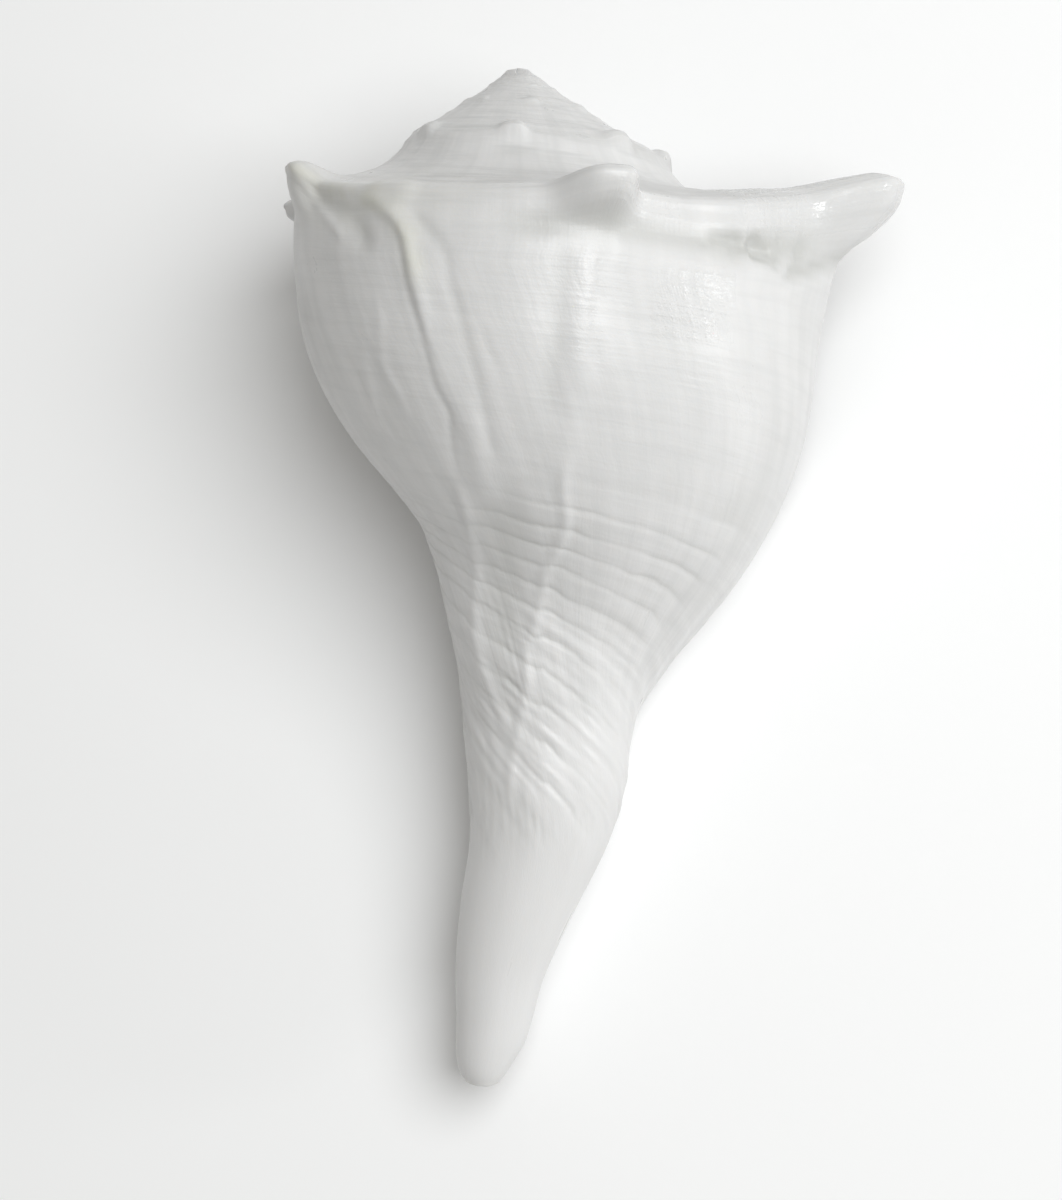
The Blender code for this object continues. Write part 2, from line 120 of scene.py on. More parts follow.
# Hollow: degrees that its end lies past the middle of the turn
HOLLOW_END = ((51.0, 0.0), (75.0, 16.0), (110.0, 6.0), (150.0, 4.0), (200.0, 8.0))
HOLLOW_RAMP = (
    (0.0, 30.4, 24.4), (0.25, 34.4, 29.2), (0.5, 42.0, 33.8), (0.75, 50.2, 36.2),
    (0.9, 54.0, 37.4), (1.0, 55.4, 38.9),
)
COLUMELLA_WALL = ((90.0, 7.0), (130.0, 7.0), (150.0, 5.2), (175.0, 3.0), (200.0, 1.5))
# Degrees that the hollow runs back from the lip
HOLLOW_SWEEP = 156.4
# Share of the columella's sweep that its rounded edge takes, and degrees that it runs past the
# hollow's end
EDGE_SHARE = 0.14
COLUMELLA_PAST_END = 10.0
# The wall reaches its full thickness this far behind the lip, and is thinner at the canal's tip
LIP_TAPER = 35.0
TIP_THINNING = 0.35
# Share of a knob that shows inside the lip, and the degrees over which it fades
KNOB_INSIDE = 0.8
KNOB_INSIDE_FADE = 16.0
# The hollow's blind end droops by this much at its top, and less between these depths
END_SAG = 0.7
END_SAG_FADE = (44.0, 110.0)

# Knobs: degrees back from the right-hand side, outward, upward, half width along the coil,
# reach up the ramp, reach down the side, degrees that the tip leans back
KNOBS = (
    (6.0, 17.6, 5.2, 8.0, 7.0, 7.6, -2.0),
    (71.0, 9.6, 4.0, 6.6, 5.6, 6.0, -3.0),
    (118.0, 0.9, 0.5, 5.5, 4.0, 5.0, 0.0),
    (154.0, 4.9, 4.8, 6.0, 5.0, 5.6, 2.0),
    (197.0, 8.5, -1.0, 5.5, 4.6, 5.4, 0.0),
    (250.0, 5.5, 1.2, 6.0, 5.0, 5.0, 0.0),
    (302.0, 3.0, 2.4, 5.5, 4.5, 5.0, 0.0),
)
# Older knobs repeat up the spire, each turn lower than the next. The first one is given at
# full size, with how high it would stand there.
OLDER_KNOB = (351.0, 1.8, 4.3, 6.4, 5.6, 5.6)
OLDER_KNOB_STEP = 49.5
# A knob is blunt, with a wider low root, and longer on the side that grew first
KNOB_ROOT_SHARE = 0.28
KNOB_ROOT_WIDTH = 1.9
KNOB_BACK = 1.35
KNOB_FRONT = 0.75
# The shoulder's rise towards the large spine: degrees, half width in degrees, up, outward
FOLD = (5.0, 38.0, 6.2, 1.6)
# The rise fades up the ramp between the first two distances from the crest, and down the
# side over the third
FOLD_FADE = (-24.0, -4.0, 17.0)
CREST_SHARE = 0.88
SHOULDER_RADIUS = 59.0
# How far the sides of the canal's tip are drawn back, at this distance from its middle
TIP_ROUNDING = 1.2
TIP_HALF_WIDTH = 4.4
# How much wider the apex is than on the coil, and how far down this fades
APEX_WIDENING = 0.5
APEX_REACH = 2.6
# Dome over the apex: how far out and how far down its one ring lies, as shares of its rim
DOME_RING = np.array([0.6, 0.3, 0.6])

# Ridges that old lips left: height, half width, then depth and degrees back
OLD_LIPS = (
    (0.75, 2.4, ((25, 151), (27.2, 138), (31, 122), (35, 116), (41.5, 112.6), (50, 110.3))),
    (0.42, 1.3, ((27, 132), (31, 122.4), (34, 117.4), (37, 114.8), (41, 113), (46, 111.6), (52, 109.8),
        (60, 107.4))),
    (0.42, 2.6, ((40, 113), (46, 111.6), (51, 109.7), (55, 108.2), (60, 106.9), (65, 105.1), (69, 101.8),
        (74, 99.8), (81, 99), (88, 98))),
    (0.42, 1.4, ((80, 106.8), (88, 107.6), (92, 108.3), (96, 108.7), (100, 111.5), (104, 115), (111, 120.2),
        (116, 120.3), (122, 115.9), (128, 106.2), (132, 102.4))),
    (0.30, 2.8, ((36, 74.4), (50, 74.8), (59, 75.7), (68, 76), (75, 76.1), (84, 76.3))),
    (0.38, 1.2, ((76, 76.5), (83, 76.3), (91, 73.8), (95, 74.7), (99, 77), (103, 77.9), (108, 79.8),
        (112, 83.6), (116, 85.7), (123, 88), (129, 95.8), (139, 107.7), (147, 112.5))),
    (0.20, 1.2, ((47, 123.2), (53, 121.9), (63, 121.6), (65, 120.1), (73, 117.8))),
    (0.22, 1.5, ((55, 129.3), (63, 128.8), (72, 129.4), (79, 121))),
    (0.50, 0.9, ((26, 154), (28, 149.5), (30, 146), (32.5, 140.8), (34.4, 137.3), (38, 133))),
)
# Furrows beside them, in the same form
FURROWS = (
    (0.26, 0.9, ((33, 120), (36, 117.2), (42, 115), (49, 113.2), (53, 111.5), (57, 110.2), (61, 109.1),
        (66, 107.8), (69, 105.8), (74, 105.9), (83, 106))),
    (0.28, 1.3, ((31, 115), (35, 111.1), (39, 106.2), (48, 103), (54, 100.7), (59, 99.3), (65, 97.5),
        (70, 96.4), (75, 95.5), (80, 94))),
    (0.10, 1.0, ((52, 96.8), (59, 94.6), (65, 92))),
    (0.34, 2.4, ((36, 79.6), (46, 80.2), (57, 80.8), (66, 81.6), (74, 79))),
    (0.26, 1.3, ((36, 71.3), (44, 72), (50, 72.8), (58, 72.6), (66, 72.4))),
    (0.14, 1.2, ((55, 134.4), (65, 131.8), (71, 130.8), (79, 129))),
    (0.65, 2.4, ((26, 153), (29, 144), (32.2, 132.5), (35, 128.5), (37, 127), (42, 125))),
    (0.45, 3.8, ((80, 92), (88, 93), (96, 94), (104, 97), (112, 102), (120, 103), (130, 101))),
)
# Furrows between the spiral cords: depth at full size. Beyond the second old lip they jog by a step
CORD_FURROWS = (94.0, 99.6, 104.5, 108.5, 113.0, 117.6, 122.3, 128.0, 135.5, 143.5, 152.0, 161.0, 171.0)
CORD_JOG = 1.3
# The cords rise, weaken and end between these depths, in pairs. The canal is smooth after its own pair
CORDS_RISE = (80, 91)
CORDS_WEAKEN = (116, 132)
CORDS_END = (140, 158)
SMOOTH_CANAL = (112, 142)

# Heights of the relief, in millimetres
CORD_TILE = 0.12
CORD_FURROW = 0.17
CORD_MIDDLE = 0.05
WRINKLES = 0.17
GROWTH_FINE = 0.006
GROWTH_BROAD = 0.06
GROWTH_FOLDS = 0.06
COIL_STREAKS = 0.26
OLD_SHOULDER_WEAR = 0.55
SHOULDER_FURROW = 0.9
SPINE_HOLLOW = 0.5
SPINE_PITS = 1.7
SPINE_SMALL_PITS = 0.6
SPINE_CREASE = 1.0
LIP_FURROWS = 0.24
LUMPS = (0.14, 0.05)
# The relief starts this far behind the lip and ends before the columella, in radians
LIP_FADE = 0.03
COLUMELLA_FADE = (5.9, 6.15)
# Marks of the last whorl fade out over these radians
LAST_MARKS_FADE = (3.6, 4.2)
# Millimetres of growth in one radian, for the grain that follows the lip
ALONG = 58.0
# What is stored at each point: place in the grain, relief, and where each finish applies
POINT_VALUES = ("along", "length", "height", "mouth", "stain", "cord", "cords", "grain", "gloss")

# Depths of the finish's fine bumps, in millimetres
GROOVE_BUMP = 0.055
FINE_BUMP = 0.05
THREAD_BUMP = 0.09
HATCH_BUMP = 0.1
RUBBED_BUMP = 0.04
SPECKLE_BUMP = 0.04
# How far light spreads inside the shell, in metres, and how far by colour
LIGHT_REACH = 0.0025
LIGHT_SPREAD = (1.0, 0.85, 0.7)

# Photograph's view: size of its frame, and pixels of the apex and of the canal's tip
FRAME_PX = (1062.0, 1200.0)
APEX_PX = (512.5, 68.0)
TIP_PX = (512.5, 1087.0)
VIEW_DISTANCE = 0.72
# Lights: degrees to the right of the view and above it, distance, diameter
KEY_LIGHT = (17.0, 13.0, 1.15, 1.0)
WINDOW_LIGHT = (69.0, 1.0, 1.05, 0.2)
SENSOR_HEIGHT_MM = 36.0
FLOOR_SIZE = 4.0
FLOOR_ROUGHNESS = 0.9


def hermite(position, knots, column=1):
    """A smooth curve through a table's rows, held level past its ends."""
    table = np.array(knots, float)
    at = table[:, 0]
    value = table[:, column]
    slope = np.gradient(value, at)
    position = np.clip(position, at[0], at[-1])
    i = np.clip(np.searchsorted(at, position) - 1, 0, len(at) - 2)
    span = at[i + 1] - at[i]
    t = (position - at[i]) / span
    return (
        (2 * t**3 - 3 * t**2 + 1) * value[i]
        + (t**3 - 2 * t**2 + t) * span * slope[i]
        + (3 * t**2 - 2 * t**3) * value[i + 1]
        + (t**3 - t**2) * span * slope[i + 1]
    )


def smooth_step(low, high, value):
    t = np.clip((value - low) / (high - low), 0, 1)
    return t * t * (3 - 2 * t)


def soft_max(a, b, blend):
    near = np.maximum(blend - np.abs(a - b), 0) / blend
    return np.maximum(a, b) + near**2 * blend / 4


def patchy(x, y, seed):
    """Smooth noise from -1 to 1, with patches one unit wide."""
    table = np.random.default_rng(seed).uniform(-1, 1, (64, 64))
    x, y = np.broadcast_arrays(x, y)
    i = np.floor(x).astype(int)
    j = np.floor(y).astype(int)
    s = smooth_step(0, 1, x - i)
    t = smooth_step(0, 1, y - j)
    near = table[i % 64, j % 64] * (1 - s) + table[(i + 1) % 64, j % 64] * s
    far = table[i % 64, (j + 1) % 64] * (1 - s) + table[(i + 1) % 64, (j + 1) % 64] * s
    return near * (1 - t) + far * t


# Growth coordinates, as in the solid

def growth(azimuth):
    """Size of the shell when its lip stood this far back from the right-hand side."""
    return np.exp(-math.log(WHORL_GROWTH) * azimuth / TURN)


def level(azimuth, depth):
    """Depth of a row: it spirals with growth on the body and becomes a ring at the tip."""
    size = growth(azimuth)
    return depth * (size + (1 - size) * smooth_step(70.0, SHELL_LENGTH, depth))


def spiral_radius(azimuth, depth):
    size = growth(azimuth)
    return size * hermite(depth / size, SIDE)


def canal_radius(azimuth, depth):
    """Radius of the canal's oval tube, seen from the centre line."""
    offset = hermite(depth, CANAL, 1) - hermite(depth, CENTRE_LINE)
    half_width = hermite(depth, CANAL, 2)
    half_height = CANAL_FLATNESS * half_width
    oval = 1 / np.hypot(np.cos(azimuth) / half_width, np.sin(azimuth) / half_height)
    return oval + offset * np.cos(azimuth)


def outer_radius(azimuth, depth):
    shift = hermite(depth, CENTRE_LINE) * smooth_step(60, 100, depth)
    body = spiral_radius(azimuth, depth) - shift * np.cos(azimuth)
    return soft_max(body, canal_radius(azimuth, depth), CANAL_BLEND)


def place(azimuth, radius, depth):
    """A point in the shell's own frame: X right, Y towards the apex, Z out of the back."""
    across = hermite(depth, CENTRE_LINE) + radius * np.cos(azimuth)
    return np.stack(np.broadcast_arrays(across, -depth, radius * np.sin(azimuth)), -1)


def ramp_outline(azimuth, share):
    """Radius and depth on the ramp at full size, hollow on the last whorl only."""
    older = smooth_step(math.pi, TURN, azimuth)
    radius = hermite(share, LAST_RAMP, 1)
    depth = hermite(share, LAST_RAMP, 2)
    radius = radius + older * (hermite(share, SPIRE_RAMP, 1) - radius)
    depth = depth + older * (hermite(share, SPIRE_RAMP, 2) - depth)
    return radius, depth


def ramp_length(share):
    """Length down the outline from the suture at full size."""
    fine = np.linspace(0, 1, 201)
    steps = np.hypot(np.diff(hermite(fine, LAST_RAMP, 1)), np.diff(hermite(fine, LAST_RAMP, 2)))
    return np.interp(share, fine, np.concatenate([[0], np.cumsum(steps)]))


def all_knobs():
    """Every knob with its own size: azimuth and sizes in radians and millimetres."""
    knobs = []
    for degrees, *sizes, lean in KNOBS:
        knobs.append((math.radians(degrees), *sizes, math.radians(lean)))
    first, out, up, *reaches = OLDER_KNOB
    for degrees in np.arange(first, math.degrees(TURN) * (SPIRE_TURNS + 0.5), OLDER_KNOB_STEP):
        azimuth = math.radians(degrees)
        size = float(growth(azimuth))
        lower = size * float(growth(azimuth - TURN))
        knobs.append((azimuth, out * lower, up * lower, *[size * reach for reach in reaches], 0.0))
    return knobs


def shoulder_shift(azimuth, length):
    """How far the knobs and the fold move a point, by its azimuth and its outline length."""
    azimuth, length = np.broadcast_arrays(azimuth, length)
    down = (length - ramp_length(CREST_SHARE)) * growth(azimuth)
    total = np.zeros(azimuth.shape + (3,))
    for centre, out, up, wide, above, below, lean in all_knobs():
        along = (azimuth - centre) * SHOULDER_RADIUS * growth(centre)
        along = along / (wide * np.where(along > 0, KNOB_BACK, KNOB_FRONT))
        reach = np.hypot(along, down / np.where(down < 0, above, below))
        root = np.exp(-((reach / KNOB_ROOT_WIDTH) ** 2))
        horn = np.exp(-(reach**4)) * (1 - KNOB_ROOT_SHARE) + root * KNOB_ROOT_SHARE
        total[..., 0] += horn * out * math.cos(centre + lean)
        total[..., 1] += horn * up
        total[..., 2] += horn * out * math.sin(centre + lean)
    centre, spread, up, out = FOLD
    turn = np.exp(-(((azimuth - math.radians(centre)) / math.radians(spread)) ** 2))
    rise_start, rise_end, fall_end = FOLD_FADE
    ridge = turn * smooth_step(rise_start, rise_end, down) * (1 - smooth_step(0.0, fall_end, down))
    total[..., 0] += ridge * out * np.cos(azimuth)
    total[..., 1] += ridge * up
    total[..., 2] += ridge * out * np.sin(azimuth)
    return total


def column_backs(columns):
    """Angles back from the lip, the same on every turn."""
    at, density = np.array(COLUMN_DENSITY, float).T
    fine = np.linspace(0, TURN, 1441)
    density = np.interp(np.degrees(fine), at, density)
    total = np.concatenate([[0], np.cumsum((density[1:] + density[:-1]) / 2)])
    one_turn = np.interp(np.linspace(0, total[-1], COLUMNS + 1), total, fine)
    return TURN * (columns // COLUMNS) + one_turn[columns % COLUMNS]


def coarse(count, step):
    """For each of a number of lines, the next one that is kept: every step-th, and the last."""
    return np.minimum(-(-np.arange(count) // step) * step, count - 1)


SEAM = len(RAMP_SHARES) - 1
EDGE = SEAM + EDGE_ROWS
LAST_ROW = SEAM + len(SIDE_DEPTHS)
FIRST_COLUMN = round(COLUMNS * (SPIRE_TURNS + 1))
HOLLOW_END_COLUMN = COLUMNS + HOLLOW_COLUMNS


def row_depths(rows):
    depths = np.array((LAST_RAMP[-1][2],) + SIDE_DEPTHS)
    return depths[np.maximum(rows - SEAM, 0)]


def row_lengths(rows):
    """Length down the outline of each row."""
    shares = np.array(RAMP_SHARES)[np.minimum(rows, SEAM)]
    return ramp_length(shares) + row_depths(rows) - LAST_RAMP[-1][2]


def lip_lead(rows):
    """How far forward the lip's edge stands, with the small steps of its last growth."""
    depth = row_depths(rows)
    steps = patchy(depth / 3.1, 0.0, 3) + 0.5 * patchy(depth / 1.4, 0.0, 4)
    steps = steps * smooth_step(38, 46, depth) * (1 - smooth_step(90, 120, depth))
    return np.radians(hermite(depth, LIP_LEAD) + 0.45 * steps)


def outer_azimuths(columns, rows):
    """Azimuth of each column and row of the outside and, past one turn, of the columella."""
    back = column_backs(columns)[:, None]
    sweep = np.radians(hermite(row_depths(rows), OUTSIDE_SWEEP)) / TURN
    sweep = np.where((rows <= EDGE) | (columns[:, None] > COLUMNS), 1.0, sweep)
    return back * sweep - lip_lead(rows)


def outer_base(columns, rows):
    """Azimuths, depths and points of the outer surface, knobs included."""
    azimuth = outer_azimuths(columns, rows)
    shares = np.array(RAMP_SHARES)[np.minimum(rows, SEAM)]
    radius, depth = ramp_outline(azimuth, shares)
    size = growth(azimuth)
    ramp = place(azimuth, size * radius, size * depth)
    side_depth = level(azimuth, row_depths(rows))
    side = place(azimuth, outer_radius(azimuth, side_depth), side_depth)
    on_ramp = (rows <= SEAM)[None, :]
    points = np.where(on_ramp[..., None], ramp, side) + shoulder_shift(azimuth, row_lengths(rows))
    return azimuth, np.where(on_ramp, size * depth, side_depth), points


def inset_points(azimuth, row_depth, thickness):
    """The side's points moved inwards by a wall, square to the outline."""
    depth = level(azimuth, row_depth)
    slope = outer_radius(azimuth, depth + 0.5) - outer_radius(azimuth, depth - 0.5)
    slope = np.clip(slope, -1.4, 1.4)
    length = np.sqrt(1 + slope**2)
    radius = outer_radius(azimuth, depth) - thickness / length
    return place(azimuth, radius, depth + thickness * slope / length)


def hollow_azimuths(rows):
    """Azimuth of the hollow's columns, from the lip inwards."""
    share = np.arange(HOLLOW_COLUMNS + 1)[:, None] / HOLLOW_COLUMNS
    return share * np.radians(HOLLOW_SWEEP + hermite(row_depths(rows), HOLLOW_END)) - lip_lead(rows)


def hollow_points(rows):
    """Inside of the outer wall."""
    azimuth = hollow_azimuths(rows)
    depth = row_depths(rows)
    back = azimuth + lip_lead(rows)
    wall = LIP_WALL + (INNER_WALL - LIP_WALL) * smooth_step(0.0, math.radians(LIP_TAPER), back)
    wall = wall * (1 - TIP_THINNING * smooth_step(150, SHELL_LENGTH, depth))
    turned = smooth_step(math.radians(60), math.radians(170), azimuth)
    in_canal = smooth_step(100, 140, depth)
    wall = wall + turned * in_canal * (hermite(depth, COLUMELLA_WALL) - wall)
    size = growth(azimuth)
    shares = np.array(RAMP_SHARES)[np.minimum(rows, SEAM)]
    radius = hermite(shares, HOLLOW_RAMP, 1)
    ramp = place(azimuth, size * radius, size * hermite(shares, HOLLOW_RAMP, 2))
    side = inset_points(azimuth, depth, wall)
    base = np.where((rows <= SEAM)[None, :, None], ramp, side)
    follow = KNOB_INSIDE * np.exp(-np.maximum(back, 0) / math.radians(KNOB_INSIDE_FADE))
    return base + follow[..., None] * shoulder_shift(azimuth, row_lengths(rows))


def columella_points(rows):
    """The smooth wall between the mouth and the axis, from its edge inwards."""
    columns = np.arange(COLUMNS + 1, HOLLOW_END_COLUMN + 1)
    share = ((columns - COLUMNS) / HOLLOW_COLUMNS)[:, None]
    row_depth = row_depths(rows)
    edge = outer_azimuths(np.array([COLUMNS]), rows)
    azimuth = edge + share * np.radians(HOLLOW_SWEEP + hermite(row_depth, HOLLOW_END))
    depth = level(azimuth, row_depth)
    radius = soft_max(spiral_radius(azimuth, depth), COLUMELLA_RADIUS, COLUMELLA_BLEND)
    radius = np.where(rows <= EDGE, outer_radius(azimuth, depth), radius)
    body = place(azimuth, radius, depth)
    wall = hermite(row_depth, COLUMELLA_WALL)
    turned = math.pi * np.minimum(share / EDGE_SHARE, 1)
    deep = hollow_azimuths(rows)[-1] + math.radians(COLUMELLA_PAST_END)
    past = np.clip((share - EDGE_SHARE) / (1 - EDGE_SHARE), 0, 1)
    azimuth = edge + past * (deep - edge)
    canal = inset_points(azimuth, row_depth, wall * (1 - np.cos(turned)) / 2)
    forward = np.stack(np.broadcast_arrays(-np.sin(edge), 0.0, np.cos(edge)), -1)
    canal = canal + (wall * np.sin(turned) / 2)[..., None] * forward
    in_canal = smooth_step(92, 150, row_depth)[None, :, None]
    return body + in_canal * (canal - body)


# Surface relief, in millimetres along the normal

def window(low, high, fade, value):
    """One between low and high, fading to nothing beyond them."""
    return smooth_step(low - fade, low, value) * (1 - smooth_step(high, high + fade, value))


def cord_phase(azimuth, depth):
    """Counts the furrows between the spiral cords: a whole number lies in a furrow."""
    degrees = np.degrees(azimuth)
    grown = depth / growth(azimuth) - CORD_JOG * smooth_step(75, 81, degrees)
    grown = grown + 0.8 * patchy(azimuth * 3.5, grown / 7, 11) + 0.25 * patchy(azimuth * 12, grown / 4, 13)
    return np.interp(grown, CORD_FURROWS, np.arange(len(CORD_FURROWS)))


def cord_strength(azimuth, depth):
    strength = smooth_step(*CORDS_RISE, depth) * (1 - 0.45 * smooth_step(*CORDS_WEAKEN, depth))
    strength = strength * (1 - smooth_step(*CORDS_END, depth)) * smooth_step(10, 34, np.degrees(azimuth))
    return strength * (0.75 + 0.45 * patchy(azimuth * 3, depth / 11, 12))


def spiral_cords(azimuth, depth):
    """Rounded cords that overlap like tiles, with narrow furrows between them."""
    phase = cord_phase(azimuth, depth)
    spacing = np.interp(phase, np.arange(len(CORD_FURROWS)), np.gradient(CORD_FURROWS))
    part = phase % 1
    tile = part**0.6 * (1 - part) * 2.2
    away = np.minimum(part, 1 - part) * spacing
    furrow = np.exp(-((away / 0.75) ** 2))
    middle = np.exp(-(((part - 0.55) * spacing / 0.5) ** 2))
    return cord_strength(azimuth, depth) * (CORD_TILE * tile - CORD_FURROW * furrow - CORD_MIDDLE * middle)


def growth_lines(along, length):
    """Fine irregular lines parallel to the lip, with along in millimetres of growth."""
    fine = patchy(along / 1.3, length / 30, 31) + 0.6 * patchy(along / 0.8, length / 20, 32)
    broad = patchy(along / 5.5, length / 40, 33)
    folds = patchy(along / 2.6, length / 25, 34) * window(150, 200, 25, along)
    return GROWTH_FINE * fine + GROWTH_BROAD * broad + GROWTH_FOLDS * folds


def spiral_streaks(azimuth, length):
    """Soft uneven bands along the coil on the ramps, and older shoulders worn down."""
    drift = length + 2.2 * azimuth
    soft = patchy(azimuth * 1.3, drift / 2.9, 71) + 0.6 * patchy(azimuth * 2.4, drift / 1.5, 72)
    crest = smooth_step(5.2, 6.0, azimuth) * np.exp(-(((length - ramp_length(CREST_SHARE)) / 4.0) ** 2))
    return COIL_STREAKS * soft * (1 - smooth_step(33, 40, length)) - OLD_SHOULDER_WEAR * crest


def wrinkles(azimuth, depth):
    """Uneven slanting wrinkles between the cords and the smooth end of the canal."""
    grown = depth / growth(azimuth)
    soft = patchy(grown / 1.7, azimuth * 2.4, 73) + 0.5 * patchy(grown / 0.9, azimuth * 4, 74)
    return WRINKLES * soft * window(112, 146, 10, depth)


def line_relief(lines, azimuth, depth, radius):
    """Cross-section of each listed line: its own bell, summed over the lines."""
    total = np.zeros(azimuth.shape)
    for height, half_width, path in lines:
        centre = np.radians(hermite(depth, path))
        lean = np.radians(hermite(depth + 0.5, path) - hermite(depth - 0.5, path)) * radius
        beads = patchy(depth / 4.5, 0.0, 41 + int(half_width * 10))
        across = ((azimuth - centre) * radius + 0.2 * beads) / half_width
        across = across / np.sqrt(1 + lean**2)
        ends = smooth_step(path[0][0], path[1][0], depth)
        ends = ends * (1 - smooth_step(path[-2][0], path[-1][0], depth))
        total += height * (1 + 0.2 * beads) * ends * np.exp(-(across**2))
    return total


def shoulder_hollow(azimuth, depth):
    """Shallow furrow under the shoulder, from the large spine to the next knob."""
    grown = depth / growth(azimuth)
    across = np.exp(-(((grown - 42.3) / 2.6) ** 2))
    return -SHOULDER_FURROW * window(24, 84, 16, np.degrees(azimuth)) * across


def spine_pits(azimuth, depth):
    """Pitted hollow under the root of the large spine, with a crease on its lower side."""
    degrees = np.degrees(azimuth)
    grown = depth / growth(azimuth)
    inside = np.exp(-(((degrees - 34) / 11) ** 2) - ((grown - 43.2) / 2.2) ** 2)
    pits = smooth_step(-0.2, 0.5, patchy(azimuth * 21, grown / 2.3, 51))
    small = smooth_step(-0.1, 0.6, patchy(azimuth * 38, grown / 1.5, 52))
    crease = window(2, 24, 6, degrees) * np.exp(-(((grown - 45.0 - 0.17 * (degrees - 17)) / 1.0) ** 2))
    hollow = SPINE_HOLLOW + SPINE_PITS * pits + SPINE_SMALL_PITS * small
    return -inside * hollow - SPINE_CREASE * crease


def lip_margin(back, depth, radius):
    """Two thin furrows behind the lip's edge, where its last growth began."""
    from_edge = back * radius
    edge = np.exp(-(((from_edge - 3.6) / 0.55) ** 2)) + 0.6 * np.exp(-(((from_edge - 6.4) / 0.7) ** 2))
    return -LIP_FURROWS * edge * window(42, 86, 6, depth)


def relief(azimuth, depth, length, back, points, sizes):
    """All the relief of the outside."""
    size = growth(azimuth)
    radius = np.hypot(points[..., 0], points[..., 2])
    along = back * ALONG
    total = sizes.cord_relief * (spiral_cords(azimuth, depth) + wrinkles(azimuth, depth))
    smoother = 1 - 0.95 * smooth_step(*SMOOTH_CANAL, depth)
    total = total + sizes.growth_relief * size * smoother * growth_lines(along, length)
    total = total + size * spiral_streaks(azimuth, length)
    on_last = 1 - smooth_step(*LAST_MARKS_FADE, azimuth)
    lips = line_relief(OLD_LIPS, azimuth, depth, radius) - line_relief(FURROWS, azimuth, depth, radius)
    marks = spine_pits(azimuth, depth) + shoulder_hollow(azimuth, depth) + lip_margin(back, depth, radius)
    total = total + on_last * (sizes.lip_relief * lips + marks)
    wide, narrow = LUMPS
    lumps = wide * patchy(azimuth * 3.2, length / 13, 61) + narrow * patchy(azimuth * 8, length / 6, 62)
    return total + size * lumps * (1 - 0.8 * smooth_step(130, 170, depth))


class Sheets:
    """Points and faces gathered from grids of indices, with values at each point."""

    def __init__(self):
        self.points = np.zeros((0, 3))
        self.values = np.zeros((0, len(POINT_VALUES)))
        self.faces = []

    def add(self, points, along=0.0, length=0.0, height=0.0, mouth=1.0, *others):
        start = len(self.points)
        values = [along, length, height, mouth, *others]
        values += [0.0] * (len(POINT_VALUES) - len(values))
        values = [np.broadcast_to(value, points.shape[:-1]) for value in values]
        self.points = np.concatenate([self.points, points.reshape(-1, 3)])
        self.values = np.concatenate([self.values, np.stack(values, -1).reshape(-1, len(POINT_VALUES))])
        return np.arange(start, len(self.points)).reshape(points.shape[:-1])

    def face(self, loop):
        distinct = list(dict.fromkeys(loop))
        if len(distinct) > 2:
            self.faces.append(distinct)

    def quads(self, grid):
        corners = np.stack([grid[:-1, :-1], grid[:-1, 1:], grid[1:, 1:], grid[1:, :-1]], -1)
        for loop in corners.reshape(-1, 4).tolist():
            self.face(loop)

    def band(self, first, last, steps, swell):
        """Grid from one line of points to another, rounded outwards between them."""
        share = np.arange(1, steps)[:, None, None] / steps
        a = self.points[first]
        b = self.points[last]
        width = np.linalg.norm(a - b, axis=-1)[..., None]
        points = a + share * (b - a) + swell * width / 2 * np.sin(math.pi * share)
        along = self.values[first, 0] + 0 * share[..., 0]
        length = self.values[first, 1] + 0 * share[..., 0]
        mouth = self.values[first, 3] + share[..., 0] * (1 - self.values[first, 3])
        return np.concatenate([first[None], self.add(points, along, length, 0.0, mouth), last[None]])

    def drop_unused(self):
        """Leaves out the points that no face uses."""
        used = np.zeros(len(self.points), bool)
        used[[index for loop in self.faces for index in loop]] = True
        new = (np.cumsum(used) - 1).tolist()
        self.points = self.points[used]
        self.values = self.values[used]
        self.faces = [[new[index] for index in loop] for loop in self.faces]


def stains(azimuth, depth):
    """Where the shell is tinted: beside the first old lip and at the left knob."""
    lip = line_relief(((1.0, 2.4, OLD_LIPS[0][2]),), azimuth, depth, 50.0)
    knob = np.exp(-(((azimuth - 2.3) / 0.5) ** 2) - ((depth - 29) / 5) ** 2)
    return np.clip(0.8 * lip + 0.35 * knob, 0, 1)


def glossy(azimuth, depth):
    """Where the surface is polished: beside the second old lip, at the large spine and at a knob."""
    degrees = np.degrees(azimuth)
    grown = depth / growth(azimuth)
    patch = window(44, 59, 4, degrees) * window(45, 55, 3, depth)
    strip = window(74, 76, 3, degrees) * window(42, 56, 6, depth)
    spine = window(-10, 36, 8, degrees) * window(33, 39, 3, grown)
    knob = window(58, 70, 6, degrees) * window(35, 39, 3, grown)
    return np.clip(patch + 0.45 * strip + spine + 0.7 * knob, 0, 1)


